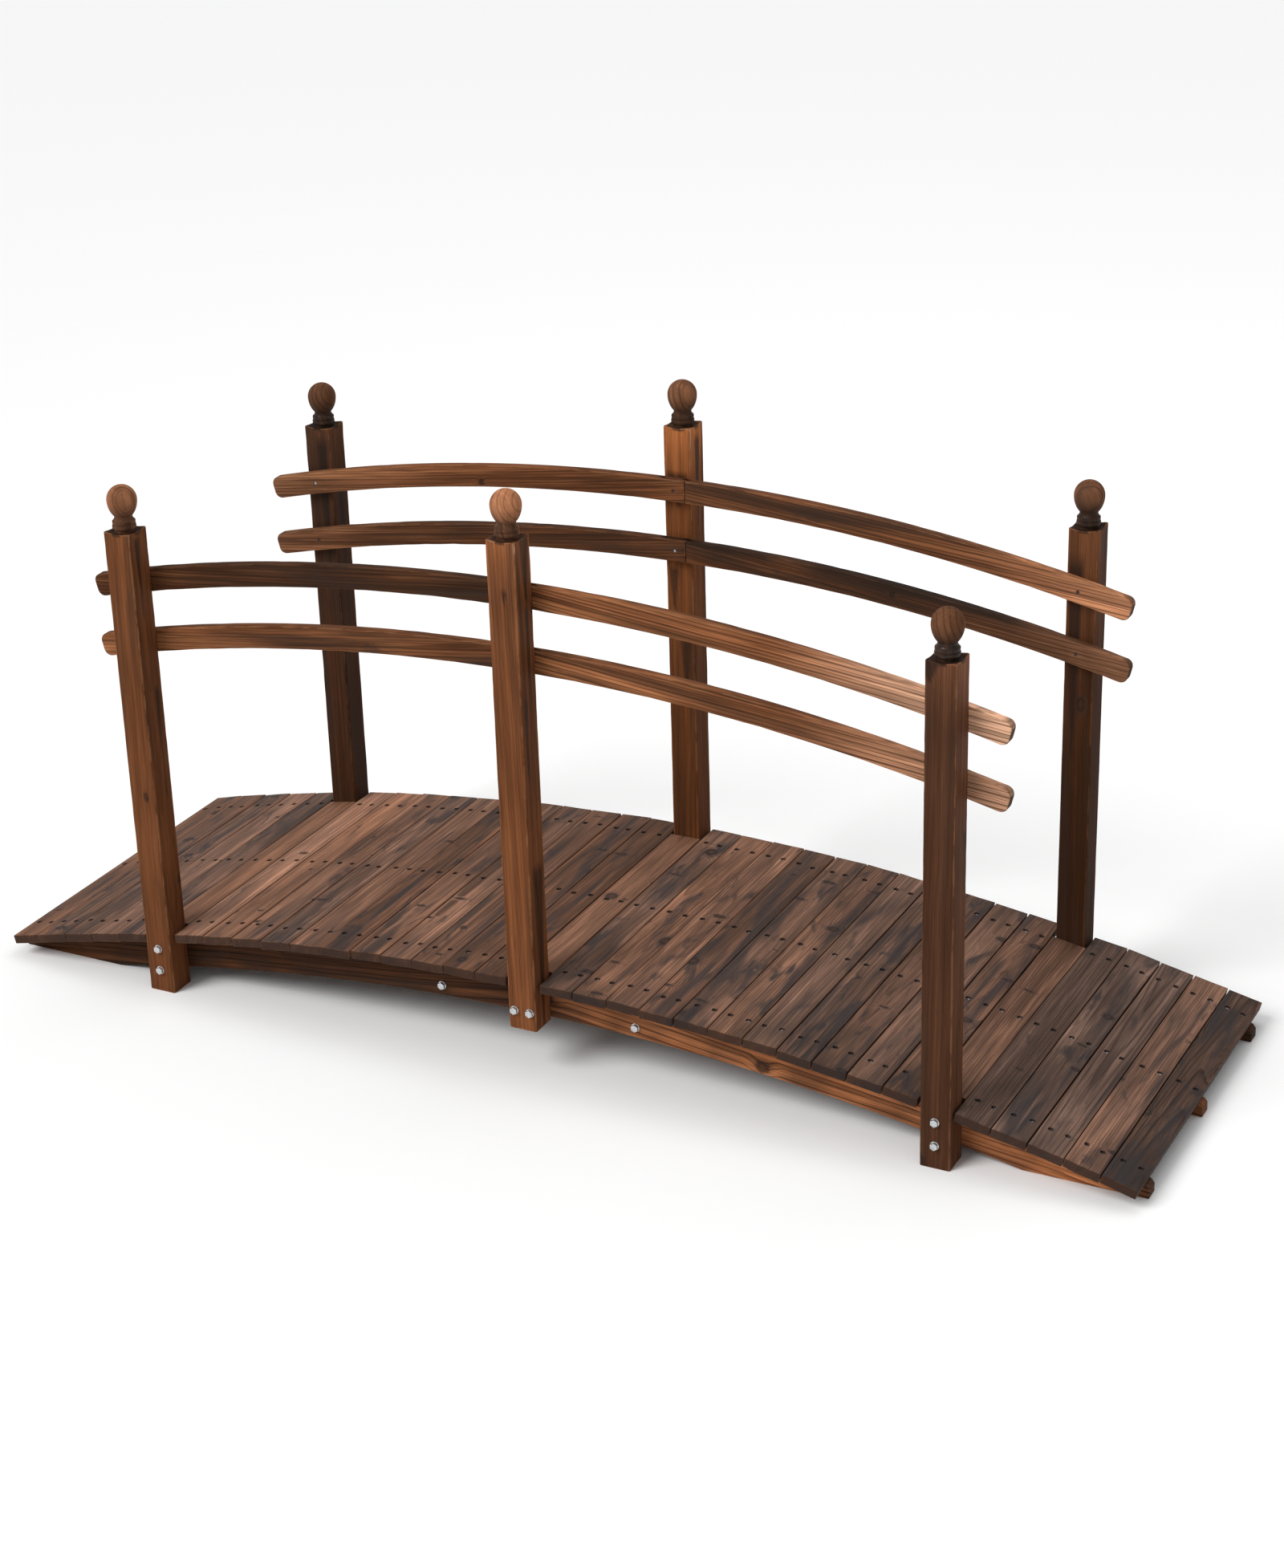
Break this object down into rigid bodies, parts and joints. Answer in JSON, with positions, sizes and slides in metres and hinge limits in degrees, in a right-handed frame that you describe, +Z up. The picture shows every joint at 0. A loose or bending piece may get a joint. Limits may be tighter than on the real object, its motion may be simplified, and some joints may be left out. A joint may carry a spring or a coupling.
{
  "type": "arched garden bridge",
  "caption": "Arched garden footbridge of dark fir: plank deck on arched stringers, turned ball-top posts and curved half-lapped side rails.",
  "frame": {"origin": "on the ground under the middle of the deck, centre of the bounding box's bottom", "axes": "+X along the walkway, to the right in the picture; +Y across it, away from the camera; +Z up"},
  "size_m": [2.286, 0.72, 1.0968],
  "materials": {
    "deck_wood": "scorched dark brown fir, matt",
    "stringer_wood": "stained red-brown fir, satin",
    "post_wood": "stained red-brown fir, satin",
    "rail_wood": "stained red-brown fir, satin"
  },
  "bodies": {
    "root": {"front_stringer_left": "stringer_wood", "front_stringer_right": "stringer_wood", "front_splice_board": "stringer_wood", "middle_stringer_left": "stringer_wood", "middle_stringer_right": "stringer_wood", "middle_splice_board": "stringer_wood", "back_stringer_left": "stringer_wood", "back_stringer_right": "stringer_wood", "back_splice_board": "stringer_wood", "left_end_boards": "deck_wood", "left_post_board": "deck_wood", "left_bay_boards": "deck_wood", "middle_post_board": "deck_wood", "right_bay_boards": "deck_wood", "right_post_board": "deck_wood", "right_end_boards": "deck_wood", "front_left_post": "post_wood", "front_middle_post": "post_wood", "front_right_post": "post_wood", "front_upper_rail_left": "rail_wood", "front_upper_rail_right": "rail_wood", "front_lower_rail_left": "rail_wood", "front_lower_rail_right": "rail_wood", "back_left_post": "post_wood", "back_middle_post": "post_wood", "back_right_post": "post_wood", "back_upper_rail_left": "rail_wood", "back_upper_rail_right": "rail_wood", "back_lower_rail_left": "rail_wood", "back_lower_rail_right": "rail_wood"}
  },
  "joints": []
}
